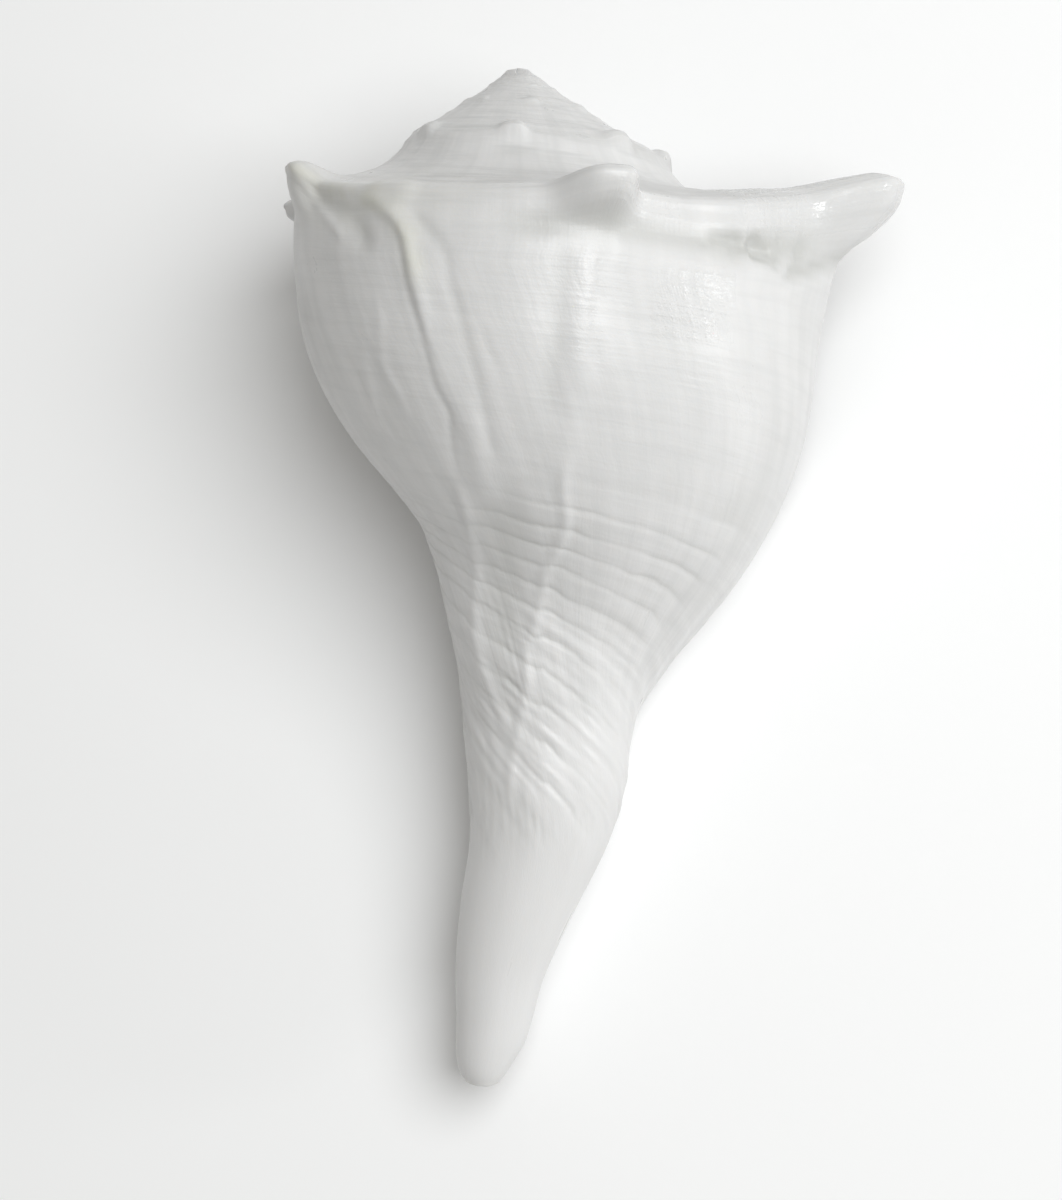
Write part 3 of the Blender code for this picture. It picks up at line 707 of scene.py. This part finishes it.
def outside(sheets, columns, rows, sizes):
    """Adds part of the outside, with all its values, and gives the indices of its points."""
    azimuth, depth, points = outer_base(columns, rows)
    length = np.broadcast_to(row_lengths(rows), azimuth.shape)
    back = azimuth + lip_lead(rows)
    height = relief(azimuth, depth, length, back, points, sizes)
    last_turn = columns[:, None] <= COLUMNS
    near_lip = smooth_step(0.0, LIP_FADE, back)
    near_axis = 1 - smooth_step(*COLUMELLA_FADE, back) * last_turn * (rows > SEAM)
    height = height * near_lip * near_axis
    stain = stains(azimuth, depth) * last_turn
    cords = cord_strength(azimuth, depth) * last_turn * near_axis
    cord = cord_phase(azimuth, depth)
    grain = 1 - smooth_step(*SMOOTH_CANAL, depth)
    gloss = glossy(azimuth, depth)
    return sheets.add(points, back * ALONG, length, height, 0.0, stain, cord, cords, grain, gloss)


def build_shell(sizes):
    """All the sheets of the shell, joined at their edges."""
    sheets = Sheets()
    outer = np.full((FIRST_COLUMN + 1, LAST_ROW + 1), -1)
    ramp_rows = np.arange(1, SEAM + 1)
    side_rows = np.arange(SEAM + 1, LAST_ROW + 1)
    hidden_rows = np.arange(EDGE, LAST_ROW + 1)
    every_column = np.arange(FIRST_COLUMN + 1)
    outer[:, ramp_rows] = outside(sheets, every_column, ramp_rows, sizes)
    first_turn = np.arange(FIRST_COLUMN + 1 - COLUMNS, FIRST_COLUMN + 1)
    outer[first_turn, 0] = outside(sheets, first_turn, np.array([0]), sizes)[:, 0]
    outer[COLUMNS:] = outer[COLUMNS:][coarse(FIRST_COLUMN + 1 - COLUMNS, SPIRE_STEP)]
    outer[: FIRST_COLUMN + 1 - COLUMNS, 0] = outer[COLUMNS:, SEAM]
    outer[: COLUMNS + 1, SEAM + 1 :] = outside(sheets, every_column[: COLUMNS + 1], side_rows, sizes)
    kept_columns = coarse(HOLLOW_COLUMNS + 1, INSIDE_STEP)
    kept_rows = coarse(len(hidden_rows), INSIDE_STEP)
    columella = np.full((HOLLOW_COLUMNS + 1, len(hidden_rows)), -1)
    columella[1:] = sheets.add(columella_points(hidden_rows), 0.0, row_lengths(hidden_rows))
    outer[COLUMNS + 1 : HOLLOW_END_COLUMN + 1, EDGE:] = columella[kept_columns][1:, kept_rows]
    inner = np.full((HOLLOW_COLUMNS + 1, LAST_ROW + 1), -1)
    inner_rows = np.arange(1, LAST_ROW + 1)
    inner[:, 1:] = sheets.add(hollow_points(inner_rows), 0.0, row_lengths(inner_rows))
    inner[:, 0] = outer[COLUMNS : HOLLOW_END_COLUMN + 1, EDGE]
    kept_inner = np.concatenate([coarse(EDGE + 1, INSIDE_STEP)[:-1], EDGE + kept_rows])
    inner[1:] = inner[kept_columns][1:, kept_inner]

    # Outside, columella and inside of the wall
    sheets.quads(outer[::-1, : SEAM + 1])
    sheets.quads(outer[COLUMNS::-1, SEAM:])
    sheets.quads(outer[HOLLOW_END_COLUMN : COLUMNS - 1 : -1, EDGE:])
    sheets.quads(inner)

    # Lip's edge
    azimuth = outer_azimuths(np.array([0]), np.arange(LAST_ROW + 1))[0]
    forward = np.stack([np.sin(azimuth), 0 * azimuth, -np.cos(azimuth)], -1)
    lip = np.empty((EDGE_ROWS + 1, LAST_ROW + 1), int)
    lip[:, 0] = outer[COLUMNS, SEAM : EDGE + 1]
    lip[:, 1:] = sheets.band(outer[0, 1:], inner[0, 1:], EDGE_ROWS, forward[1:])
    sheets.quads(lip)

    # Far end of the hollow
    cap = COLUMNS - 2 * HOLLOW_COLUMNS
    sag = END_SAG * (1 - smooth_step(*END_SAG_FADE, row_depths(hidden_rows)))[:, None]
    sag = sag * np.array([0.0, -1.0, 0.0])
    far = sheets.band(inner[-1, EDGE:], outer[HOLLOW_END_COLUMN, EDGE:], cap, sag)
    far = far[coarse(cap + 1, INSIDE_STEP)][:, kept_rows]
    sheets.quads(far)
    sheets.face(far[1:, 0].tolist() + inner[-1, : EDGE + 1].tolist())

    # Rim at the canal's tip
    ring = np.concatenate([inner[:, -1], far[1:, -1], outer[COLUMNS:HOLLOW_END_COLUMN, -1][::-1]])
    turned = HOLLOW_SWEEP * kept_columns / HOLLOW_COLUMNS
    across = np.interp(coarse(cap + 1, INSIDE_STEP)[1:], (0, cap), (HOLLOW_SWEEP, 360.0 - HOLLOW_SWEEP))
    ring_turn = np.concatenate([turned, across, 360.0 - turned[-2::-1]])
    outer_turn = np.degrees(column_backs(np.arange(COLUMNS + 1)))
    outer_turn[-1] = 360.0
    ring = ring[np.abs(outer_turn[:, None] - ring_turn).argmin(axis=1)]
    rim = np.empty((EDGE_ROWS + 1, COLUMNS + 1), int)
    tip = np.array([0.0, -1.0, 0.0])
    rim[:, 0] = lip[:, -1]
    rim[:, COLUMNS] = outer[COLUMNS, -1]
    rim[:, 1:COLUMNS] = sheets.band(outer[1:COLUMNS, -1], ring[1:COLUMNS], EDGE_ROWS, tip)
    sheets.quads(rim.T[::-1])

    # First whorl, closed by a small dome over the apex
    apex = np.array([CENTRE_LINE[0][1], 0.0, 0.0])
    loop = list(outer[FIRST_COLUMN - COLUMNS :, 0]) + list(outer[FIRST_COLUMN, 1:SEAM])
    loop = list(dict.fromkeys(int(index) for index in loop))
    ring = sheets.add(apex + (sheets.points[loop] - apex) * DOME_RING, mouth=0.0).tolist()
    top = int(sheets.add(apex[None], mouth=0.0)[0])
    for i in range(len(loop)):
        sheets.face([loop[i], loop[i - 1], ring[i - 1], ring[i]])
        sheets.face([ring[i], ring[i - 1], top])
    sheets.drop_unused()
    return sheets


def rest_matrix():
    """Turns the shell's own frame into the way it lies."""
    return Matrix.Rotation(PITCH, 3, "X") @ Matrix.Rotation(ROLL, 3, "Y")


def round_ends(points):
    """Makes the apex blunt, and draws the sides of the canal's tip back so that its end is round."""
    wider = 1 + APEX_WIDENING * np.exp(-((points[:, 1:2] / APEX_REACH) ** 2))
    axis = np.array([CENTRE_LINE[0][1], 0.0])
    points[:, [0, 2]] = axis + (points[:, [0, 2]] - axis) * wider
    off_centre = (points[:, 0] - CENTRE_LINE[-1][1]) / TIP_HALF_WIDTH
    points[:, 1] += TIP_ROUNDING * off_centre**2 * smooth_step(190, SHELL_LENGTH, -points[:, 1])


def at_rest(points):
    """The points of the shell lying on the floor, worn flat where it touches."""
    points = points @ np.array(rest_matrix()).T + np.array(REST_ORIGIN)
    points[:, 2] = np.maximum(points[:, 2], 0)
    return points


def vertex_normals(points, faces):
    mesh = bpy.data.meshes.new("normals")
    mesh.from_pydata(points.tolist(), [], faces)
    normals = np.empty(len(points) * 3)
    mesh.vertex_normals.foreach_get("vector", normals)
    bpy.data.meshes.remove(mesh)
    return normals.reshape(-1, 3)


def shell_mesh(sizes):
    """The finished mesh: relief pressed along the normals, then laid down."""
    sheets = build_shell(sizes)
    round_ends(sheets.points)
    along, length = sheets.values[:, :2].T
    height = sheets.values[:, 2]
    normals = vertex_normals(sheets.points, sheets.faces)
    points = at_rest(sheets.points + normals * height[:, None])
    mesh = bpy.data.meshes.new("conch_shell_surface")
    mesh.from_pydata((points * MM).tolist(), [], sheets.faces)
    mesh.polygons.foreach_set("use_smooth", [True] * len(mesh.polygons))
    for name, values in list(zip(POINT_VALUES, sheets.values.T))[2:]:
        layer = mesh.attributes.new(name, "FLOAT", "POINT")
        layer.data.foreach_set("value", values.astype(np.float32))
    layer = mesh.uv_layers.new(name="growth")
    corner = np.empty(len(mesh.loops), np.int32)
    mesh.loops.foreach_get("vertex_index", corner)

    # At the suture a whorl starts from the seam row of the next one, one turn and one ramp back
    starts = np.cumsum([0] + [len(loop) for loop in sheets.faces])
    lowest = np.repeat(np.minimum.reduceat(length[corner], starts[:-1]), np.diff(starts))
    seam = length[corner] - lowest > ramp_length(1.0) / 2
    along = along[corner] - seam * TURN * ALONG
    length = length[corner] - seam * ramp_length(1.0)
    uv = np.stack([along, length], -1) / 100
    layer.data.foreach_set("uv", uv.astype(np.float32).ravel())
    return mesh


# Finishes

class Finish:
    """A material in the making: each method adds a node and gives its output."""

    def __init__(self, name):
        self.material = bpy.data.materials.new(name)
        self.material.use_nodes = True
        self.nodes = self.material.node_tree.nodes
        self.link = self.material.node_tree.links.new
        self.shader = self.nodes["Principled BSDF"]

    def node(self, kind, **settings):
        made = self.nodes.new(kind)
        for key, value in settings.items():
            setattr(made, key, value)
        return made

    def streaks(self, uv, scale, detail):
        """Noise drawn out along the growth lines: scale is per 100 mm along and down."""
        mapping = self.node("ShaderNodeMapping")
        mapping.inputs["Scale"].default_value = (scale[0], scale[1], 1.0)
        self.link(uv, mapping.inputs["Vector"])
        noise = self.node("ShaderNodeTexNoise")
        noise.inputs["Scale"].default_value = 1.0
        noise.inputs["Detail"].default_value = detail
        noise.inputs["Roughness"].default_value = 0.6
        self.link(mapping.outputs["Vector"], noise.inputs["Vector"])
        return noise.outputs["Fac"]

    def ranged(self, value, low, high, new_low, new_high):
        made = self.node("ShaderNodeMapRange", clamp=True)
        for index, number in enumerate((low, high, new_low, new_high), start=1):
            made.inputs[index].default_value = number
        self.link(value, made.inputs[0])
        return made.outputs[0]

    def mixed(self, factor, a, b):
        made = self.node("ShaderNodeMix", data_type="RGBA")
        self.link(factor, made.inputs[0])
        for socket, colour in ((made.inputs[6], a), (made.inputs[7], b)):
            if isinstance(colour, bpy.types.NodeSocket):
                self.link(colour, socket)
            else:
                socket.default_value = (*colour, 1.0)
        return made.outputs[2]

    def attribute(self, name):
        return self.node("ShaderNodeAttribute", attribute_name=name).outputs["Fac"]

    def product(self, a, b):
        made = self.node("ShaderNodeMath", operation="MULTIPLY")
        self.link(a, made.inputs[0])
        self.link(b, made.inputs[1])
        return made.outputs[0]

    def bump(self, height, distance, under=None):
        """Presses a height into the surface, over what another bump made."""
        made = self.node("ShaderNodeBump")
        made.inputs["Strength"].default_value = 1.0
        made.inputs["Distance"].default_value = distance * MM
        self.link(height, made.inputs["Height"])
        if under:
            self.link(under, made.inputs["Normal"])
        return made.outputs["Normal"]


def shell_finish(look):
    """White shell: growth streaks, painted shade in the furrows and hollows, stains, and a glossier mouth.
    """
    coat = Finish("White shell")
    shader = coat.shader
    uv = coat.node("ShaderNodeUVMap", uv_map="growth").outputs["UV"]
    height = coat.attribute("height")
    mouth = coat.attribute("mouth")
    fine = coat.streaks(uv, (55.0, 2.5), 3.0)
    broad = coat.streaks(uv, (14.0, 2.2), 2.0)
    cloud = coat.streaks(uv, (5.0, 5.0), 4.0)
    threads = coat.streaks(uv, (3.0, 56.0), 2.0)
    speckle = coat.streaks(uv, (90.0, 90.0), 5.0)
    hatch = coat.product(threads, coat.streaks(uv, (50.0, 4.0), 2.0))
    flakes = coat.ranged(hatch, 0.2, 0.3, 0.0, 1.0)
    hatch = coat.ranged(hatch, 0.1, 0.4, -0.5, 0.5)
    rubbed = coat.ranged(speckle, 0.3, 0.7, -0.5, 0.5)
    grain = coat.attribute("grain")
    gloss = coat.attribute("gloss")
    fold = coat.node("ShaderNodeMath", operation="PINGPONG")
    coat.link(coat.attribute("cord"), fold.inputs[0])
    fold.inputs[1].default_value = 0.5
    groove = coat.ranged(fold.outputs[0], 0.0, 0.14, 1.0, 0.0)
    groove = coat.product(groove, coat.attribute("cords"))

    grey = coat.product(coat.ranged(broad, 0.35, 0.75, 0.0, 0.6), grain)
    colour = coat.mixed(grey, tuple(look.white), tuple(look.shade))
    bands = coat.streaks(uv, (2.4, 34.0), 3.0)
    bands = coat.product(coat.ranged(bands, 0.48, 0.7, 0.0, 1.0), grain)
    down = coat.node("ShaderNodeSeparateXYZ")
    coat.link(uv, down.inputs[0])
    bands = coat.product(bands, coat.ranged(down.outputs[1], 0.28, 0.42, 0.85, 0.35))
    colour = coat.mixed(bands, colour, tuple(look.shade))
    # Painted shade: the lower the relief lies, the further the colour is darkened towards the furrow
    # colour, in the furrows, pits and hollows
    furrow = coat.ranged(height, 0.0, -1.2, 0.0, 0.9)
    colour = coat.mixed(furrow, colour, tuple(look.furrow))
    # Darker where the surface is polished, so that the highlights there stand out
    worn = coat.ranged(gloss, 0.0, 1.0, 0.0, 0.18)
    colour = coat.mixed(worn, colour, tuple(look.shade))
    # Painted shade: a dark line along each furrow between the spiral cords
    line = coat.ranged(groove, 0.0, 1.0, 0.0, 0.36)
    colour = coat.mixed(line, colour, tuple(look.furrow))
    spots = coat.ranged(cloud, 0.35, 0.65, 0.1, 0.7)
    spots = coat.product(spots, coat.attribute("stain"))
    colour = coat.mixed(spots, colour, tuple(look.stain))
    colour = coat.mixed(mouth, colour, tuple(look.mouth))
    coat.link(colour, shader.inputs["Base Color"])

    rough = coat.node("ShaderNodeMath", operation="MULTIPLY_ADD")
    coat.link(mouth, rough.inputs[0])
    rough.inputs[1].default_value = look.mouth_roughness - look.roughness
    uneven = coat.ranged(cloud, 0.3, 0.7, look.roughness - 0.08, look.roughness + 0.1)
    coat.link(uneven, rough.inputs[2])
    polish = coat.product(flakes, gloss)
    polished = coat.node("ShaderNodeMath", operation="MULTIPLY_ADD")
    coat.link(polish, polished.inputs[0])
    polished.inputs[1].default_value = look.gloss - look.roughness
    coat.link(rough.outputs[0], polished.inputs[2])
    coat.link(polished.outputs[0], shader.inputs["Roughness"])

    normal = coat.bump(coat.ranged(groove, 0.0, 1.0, 1.0, 0.0), GROOVE_BUMP)
    normal = coat.bump(coat.product(fine, grain), FINE_BUMP, normal)
    normal = coat.bump(coat.product(threads, grain), THREAD_BUMP, normal)
    normal = coat.bump(coat.product(hatch, gloss), HATCH_BUMP, normal)
    normal = coat.bump(coat.product(rubbed, gloss), RUBBED_BUMP, normal)
    normal = coat.bump(speckle, SPECKLE_BUMP, normal)
    coat.link(normal, shader.inputs["Normal"])
    shader.inputs["Specular IOR Level"].default_value = 0.5
    shader.inputs["Subsurface Weight"].default_value = look.glow
    shader.inputs["Subsurface Radius"].default_value = LIGHT_SPREAD
    shader.inputs["Subsurface Scale"].default_value = LIGHT_REACH
    return coat.material


def floor_finish(studio):
    coat = Finish("Pale floor")
    shader = coat.shader
    shader.inputs["Base Color"].default_value = (*studio.floor, 1.0)
    shader.inputs["Roughness"].default_value = FLOOR_ROUGHNESS
    return coat.material


# Settings that a user would change

def colour_setting(name, description, default):
    return bpy.props.FloatVectorProperty(
        name=name, description=description, subtype="COLOR", size=3, default=default, min=0.0, max=1.0)


def factor_setting(name, description, default, high=1.0):
    return bpy.props.FloatProperty(
        name=name, description=description, default=default, min=0.0, max=high, subtype="FACTOR")


def power_setting(name, description, default):
    return bpy.props.FloatProperty(
        name=name, description=description, default=default, min=0.0, unit="POWER")


class ShellSizes(bpy.types.PropertyGroup):
    cord_relief: factor_setting(
        "Spiral cords", "Height of the spiral cords on the base, as a factor", 1.0, 2.0)
    growth_relief: factor_setting("Growth lines", "Height of the fine growth lines, as a factor", 1.0, 2.0)
    lip_relief: factor_setting("Old lips", "Height of the ridges that old lips left, as a factor", 1.0, 2.0)


class ShellLook(bpy.types.PropertyGroup):
    white: colour_setting("White", "Colour of clean shell", (0.72, 0.715, 0.71))
    shade: colour_setting("Streaks", "Colour of the darker growth streaks", (0.60, 0.60, 0.595))
    # Colour that the painted shade in the furrows, pits and hollows darkens towards
    furrow: colour_setting("Furrows", "Colour in the furrows", (0.52, 0.52, 0.50))
    stain: colour_setting(
        "Stain", "Yellowish tint at the first old lip and the left knob", (0.58, 0.575, 0.46))
    mouth: colour_setting("Mouth", "Colour of the smooth mouth", (0.74, 0.70, 0.64))
    roughness: factor_setting("Roughness", "Roughness of the outside", 0.34)
    gloss: factor_setting("Polish", "Roughness where the outside is polished", 0.16)
    mouth_roughness: factor_setting("Mouth roughness", "Roughness of the mouth", 0.2)
    glow: factor_setting("Glow", "How much light spreads inside the shell", 0.1)


class StudioSettings(bpy.types.PropertyGroup):
    floor: colour_setting("Floor", "Colour of the floor", (0.94, 0.94, 0.94))
    key_power: power_setting("Key light", "Power of the large light on the right", 11.1)
    key_colour: colour_setting("Light colour", "Colour of both lights", (0.975, 0.99, 1.0))
    window_power: power_setting("Window", "Power of the small light that makes the highlights", 1.5)
    sky: bpy.props.FloatProperty(
        name="Surround", description="Strength of the pale surround", default=0.31, min=0.0)
    sky_colour: colour_setting("Surround colour", "Colour of the pale surround", (1.0, 0.985, 0.94))


class CONCH_OT_shell(bpy.types.Operator):
    """Make the shell's finished surface in place of the plain solid"""

    bl_idname = "conch.shell"
    bl_label = "Make shell"

    def execute(self, context):
        scene = context.scene
        mesh = shell_mesh(scene.conch_sizes)
        mesh.materials.append(shell_finish(scene.conch_look))
        shell = bpy.data.objects.new("conch_shell_surface", mesh)
        scene.collection.objects.link(shell)
        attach(shell, "root")
        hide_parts(SHELL_NODE)
        return {"FINISHED"}


def area_light(name, power, place, colour):
    """A round soft light, placed by its angle from the view, that looks at the shell."""
    right, up, distance, diameter = place
    light = bpy.data.lights.new(name, "AREA")
    light.energy = power
    light.color = colour
    light.shape = "DISK"
    light.size = diameter
    turn = Matrix.Rotation(math.radians(right), 3, "Y") @ Matrix.Rotation(math.radians(-up), 3, "X")
    turn = rest_matrix() @ turn
    thing = bpy.data.objects.new(name, light)
    thing.matrix_world = Matrix.Translation(turn @ Vector((0, 0, distance))) @ turn.to_4x4()
    bpy.context.scene.collection.objects.link(thing)


def photograph_view():
    """Camera square to the shell's back, framed by the apex and the canal's tip."""
    turn = rest_matrix()
    scale = (TIP_PX[1] - APEX_PX[1]) / (SHELL_LENGTH * MM)
    across = (FRAME_PX[0] / 2 - APEX_PX[0]) / scale
    down = (FRAME_PX[1] / 2 - APEX_PX[1]) / scale
    centre = Vector(REST_ORIGIN) * MM + turn @ Vector((across, -down, 0.0))
    camera = bpy.data.cameras.new("camera")
    camera.sensor_fit = "VERTICAL"
    camera.sensor_height = SENSOR_HEIGHT_MM
    camera.lens = camera.sensor_height * scale * VIEW_DISTANCE / FRAME_PX[1]
    camera.clip_start = 0.01
    thing = bpy.data.objects.new("camera", camera)
    thing.matrix_world = Matrix.Translation(centre + turn @ Vector((0, 0, VIEW_DISTANCE))) @ turn.to_4x4()
    return thing


class CONCH_OT_stage(bpy.types.Operator):
    """Make the floor, the lights and the camera"""

    bl_idname = "conch.stage"
    bl_label = "Make stage"

    def execute(self, context):
        scene = context.scene
        studio = scene.conch_studio
        bpy.ops.mesh.primitive_plane_add(size=FLOOR_SIZE, location=(0, 0, 0))
        floor = context.active_object
        floor.name = "floor"
        floor.data.materials.append(floor_finish(studio))
        area_light("key", studio.key_power, KEY_LIGHT, tuple(studio.key_colour))
        area_light("window", studio.window_power, WINDOW_LIGHT, tuple(studio.key_colour))
        world = bpy.data.worlds.new("surround")
        world.use_nodes = True
        world.node_tree.nodes["Background"].inputs["Color"].default_value = (*studio.sky_colour, 1.0)
        world.node_tree.nodes["Background"].inputs["Strength"].default_value = studio.sky
        scene.world = world
        camera = photograph_view()
        scene.collection.objects.link(camera)
        scene.camera = camera
        scene.view_settings.view_transform = "Standard"
        return {"FINISHED"}


class CONCH_PT_panel(bpy.types.Panel):
    """Settings and buttons of the shell and its stage"""

    bl_idname = "CONCH_PT_panel"
    bl_label = "Conch shell"
    bl_space_type = "VIEW_3D"
    bl_region_type = "UI"
    bl_category = "Shell"

    def draw(self, context):
        scene = context.scene
        for group in (scene.conch_sizes, scene.conch_look, scene.conch_studio):
            box = self.layout.box()
            for name in group.bl_rna.properties.keys():
                if name not in ("rna_type", "name"):
                    box.prop(group, name)
        self.layout.operator(CONCH_OT_shell.bl_idname)
        self.layout.operator(CONCH_OT_stage.bl_idname)


CLASSES = (ShellSizes, ShellLook, StudioSettings, CONCH_OT_shell, CONCH_OT_stage, CONCH_PT_panel)


def register():
    for kind in CLASSES:
        bpy.utils.register_class(kind)
    bpy.types.Scene.conch_sizes = bpy.props.PointerProperty(type=ShellSizes)
    bpy.types.Scene.conch_look = bpy.props.PointerProperty(type=ShellLook)
    bpy.types.Scene.conch_studio = bpy.props.PointerProperty(type=StudioSettings)


def unregister():
    del bpy.types.Scene.conch_studio
    del bpy.types.Scene.conch_look
    del bpy.types.Scene.conch_sizes
    for kind in reversed(CLASSES):
        bpy.utils.unregister_class(kind)


def corners(box):
    return [list(map(float, corner)) for corner in box]


def main():
    register()
    bpy.ops.conch.shell()
    bpy.ops.conch.stage()


if __name__ == "__main__":
    main()
